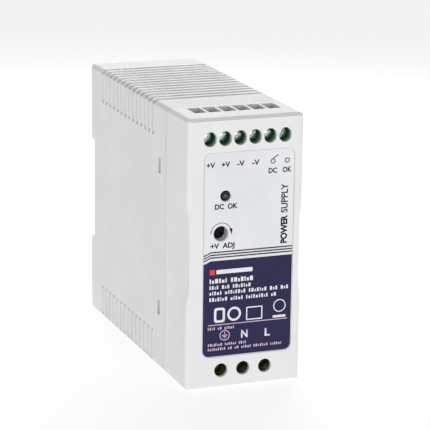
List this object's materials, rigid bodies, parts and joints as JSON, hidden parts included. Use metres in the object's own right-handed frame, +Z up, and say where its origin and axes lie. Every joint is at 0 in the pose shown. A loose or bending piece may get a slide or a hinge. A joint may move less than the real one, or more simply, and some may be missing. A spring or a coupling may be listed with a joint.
{
  "type": "din rail power supply",
  "caption": "Slim vented box that clips to a DIN rail, with screw terminals along the top and bottom front edges, a lamp and a voltage adjuster.",
  "frame": {"origin": "centre of the face that the rail lips rest on, at the body's mid width and mid height", "axes": "+X to the right seen from the front, -Y out of the front face, +Y towards the rail, +Z up"},
  "size_m": [0.04, 0.1, 0.09],
  "materials": {
    "block_dark_green": "satin",
    "block_green": "satin",
    "can_black": "sleeved",
    "can_navy": "sleeved",
    "capacitor_yellow": "satin",
    "circuit_board": "solder mask",
    "coated_blue": "lacquered",
    "copper_wire": "enamelled",
    "cover_plastic": "fine satin",
    "ferrite": "pressed",
    "ferrite_yellow": "painted",
    "header_black": "satin",
    "heatsink_aluminium": "brushed",
    "housing_plastic": "fine satin",
    "label_film": "satin film",
    "latch_plastic": "satin",
    "led_green": "clear dome",
    "moulded_black": "matt moulding",
    "relay_blue": "satin",
    "screw_brass_tone": "yellow passivated",
    "screw_steel": "nickel plated",
    "spring_steel": "drawn wire",
    "steel": "zinc plated",
    "tape_yellow": "film tape",
    "tinned_brass": "tinned",
    "trimmer_blue": "satin",
    "trimmer_navy": "satin"
  },
  "bodies": {
    "supply": {"rear_housing": "housing_plastic", "front_cover": "cover_plastic", "front_label": "label_film", "latch_spring": "spring_steel", "main_board": "circuit_board", "output_board": "circuit_board", "input_board": "circuit_board", "output_header": "header_black", "input_header": "header_black", "output_terminal_block": "block_green", "input_terminal_block": "block_dark_green", "output_contacts": "tinned_brass", "input_contacts": "tinned_brass", "led_lamp": "led_green", "led_leads": "steel", "trimmer_body": "trimmer_blue", "fuse": "moulded_black", "inrush_thermistor": "moulded_black", "surge_varistor": "coated_blue", "x_capacitor": "capacitor_yellow", "y_capacitors": "coated_blue", "line_choke_core": "ferrite", "line_choke_windings": "copper_wire", "bridge_rectifier": "moulded_black", "bulk_capacitor": "can_black", "primary_heatsink": "heatsink_aluminium", "switch_transistor": "moulded_black", "transformer_core": "ferrite", "transformer_bobbin": "moulded_black", "transformer_winding": "tape_yellow", "secondary_heatsink": "heatsink_aluminium", "output_rectifier": "moulded_black", "heatsink_screws": "steel", "output_capacitors": "can_navy", "output_inductor_core": "ferrite_yellow", "output_inductor_coil": "copper_wire", "relay": "relay_blue", "controller_chip": "moulded_black", "optocouplers": "moulded_black", "small_parts": "moulded_black"},
    "rail_latch": {"rail_latch": "latch_plastic"},
    "trimmer_rotor": {"trimmer_rotor": "trimmer_navy"},
    "output_screw_1": {"output_screw_1": "screw_steel"},
    "output_screw_2": {"output_screw_2": "screw_steel"},
    "output_screw_3": {"output_screw_3": "screw_steel"},
    "output_screw_4": {"output_screw_4": "screw_steel"},
    "output_screw_5": {"output_screw_5": "screw_steel"},
    "output_screw_6": {"output_screw_6": "screw_steel"},
    "input_screw_1": {"input_screw_1": "screw_brass_tone"},
    "input_screw_2": {"input_screw_2": "screw_brass_tone"},
    "input_screw_3": {"input_screw_3": "screw_brass_tone"},
    "output_clamp_1": {"output_clamp_1": "steel"},
    "output_clamp_2": {"output_clamp_2": "steel"},
    "output_clamp_3": {"output_clamp_3": "steel"},
    "output_clamp_4": {"output_clamp_4": "steel"},
    "output_clamp_5": {"output_clamp_5": "steel"},
    "output_clamp_6": {"output_clamp_6": "steel"},
    "input_clamp_1": {"input_clamp_1": "steel"},
    "input_clamp_2": {"input_clamp_2": "steel"},
    "input_clamp_3": {"input_clamp_3": "steel"}
  },
  "joints": [
    {"name": "latch_slide", "type": "slide", "parent": "supply", "child": "rail_latch", "axis": [0, 0, -1], "range_m": [0, 0.004], "stiffness_N_per_m": 1200, "springref_m": -0.003, "deforming": ["latch_spring"]},
    {"name": "output_screw_1_turn", "type": "hinge", "parent": "supply", "child": "output_screw_1", "pos_m": [-0.01238, -0.0928, 0.0381], "axis": [0, 1, 0], "range_deg": [0, 1728.5]},
    {"name": "output_clamp_1_rise", "type": "slide", "parent": "supply", "child": "output_clamp_1", "axis": [0, -1, 0], "range_m": [0, 0.0024]},
    {"name": "output_screw_2_turn", "type": "hinge", "parent": "supply", "child": "output_screw_2", "pos_m": [-0.00722, -0.0928, 0.0381], "axis": [0, 1, 0], "range_deg": [0, 1728.5]},
    {"name": "output_clamp_2_rise", "type": "slide", "parent": "supply", "child": "output_clamp_2", "axis": [0, -1, 0], "range_m": [0, 0.0024]},
    {"name": "output_screw_3_turn", "type": "hinge", "parent": "supply", "child": "output_screw_3", "pos_m": [-0.00208, -0.0928, 0.0381], "axis": [0, 1, 0], "range_deg": [0, 1728.5]},
    {"name": "output_clamp_3_rise", "type": "slide", "parent": "supply", "child": "output_clamp_3", "axis": [0, -1, 0], "range_m": [0, 0.0024]},
    {"name": "output_screw_4_turn", "type": "hinge", "parent": "supply", "child": "output_screw_4", "pos_m": [0.00308, -0.0928, 0.0381], "axis": [0, 1, 0], "range_deg": [0, 1728.5]},
    {"name": "output_clamp_4_rise", "type": "slide", "parent": "supply", "child": "output_clamp_4", "axis": [0, -1, 0], "range_m": [0, 0.0024]},
    {"name": "output_screw_5_turn", "type": "hinge", "parent": "supply", "child": "output_screw_5", "pos_m": [0.00822, -0.0928, 0.0381], "axis": [0, 1, 0], "range_deg": [0, 1728.5]},
    {"name": "output_clamp_5_rise", "type": "slide", "parent": "supply", "child": "output_clamp_5", "axis": [0, -1, 0], "range_m": [0, 0.0024]},
    {"name": "output_screw_6_turn", "type": "hinge", "parent": "supply", "child": "output_screw_6", "pos_m": [0.01337, -0.0928, 0.0381], "axis": [0, 1, 0], "range_deg": [0, 1728.5]},
    {"name": "output_clamp_6_rise", "type": "slide", "parent": "supply", "child": "output_clamp_6", "axis": [0, -1, 0], "range_m": [0, 0.0024]},
    {"name": "input_screw_1_turn", "type": "hinge", "parent": "supply", "child": "input_screw_1", "pos_m": [-0.0077, -0.0907, -0.0393], "axis": [0, 1, 0], "range_deg": [0, 1296.5]},
    {"name": "input_clamp_1_rise", "type": "slide", "parent": "supply", "child": "input_clamp_1", "axis": [0, -1, 0], "range_m": [0, 0.0018]},
    {"name": "input_screw_2_turn", "type": "hinge", "parent": "supply", "child": "input_screw_2", "pos_m": [0, -0.0907, -0.0393], "axis": [0, 1, 0], "range_deg": [0, 1296.5]},
    {"name": "input_clamp_2_rise", "type": "slide", "parent": "supply", "child": "input_clamp_2", "axis": [0, -1, 0], "range_m": [0, 0.0018]},
    {"name": "input_screw_3_turn", "type": "hinge", "parent": "supply", "child": "input_screw_3", "pos_m": [0.0077, -0.0907, -0.0393], "axis": [0, 1, 0], "range_deg": [0, 1296.5]},
    {"name": "input_clamp_3_rise", "type": "slide", "parent": "supply", "child": "input_clamp_3", "axis": [0, -1, 0], "range_m": [0, 0.0018]},
    {"name": "trimmer_turn", "type": "hinge", "parent": "supply", "child": "trimmer_rotor", "pos_m": [-0.0082, -0.0917, 0.0068], "axis": [0, 1, 0], "range_deg": [-130, 130]}
  ],
  "couplings": [
    {"joint": "output_screw_1_turn", "follows": "output_clamp_1_rise", "rad_per_m": 12566},
    {"joint": "output_screw_2_turn", "follows": "output_clamp_2_rise", "rad_per_m": 12566},
    {"joint": "output_screw_3_turn", "follows": "output_clamp_3_rise", "rad_per_m": 12566},
    {"joint": "output_screw_4_turn", "follows": "output_clamp_4_rise", "rad_per_m": 12566},
    {"joint": "output_screw_5_turn", "follows": "output_clamp_5_rise", "rad_per_m": 12566},
    {"joint": "output_screw_6_turn", "follows": "output_clamp_6_rise", "rad_per_m": 12566},
    {"joint": "input_screw_1_turn", "follows": "input_clamp_1_rise", "rad_per_m": 12566},
    {"joint": "input_screw_2_turn", "follows": "input_clamp_2_rise", "rad_per_m": 12566},
    {"joint": "input_screw_3_turn", "follows": "input_clamp_3_rise", "rad_per_m": 12566}
  ]
}
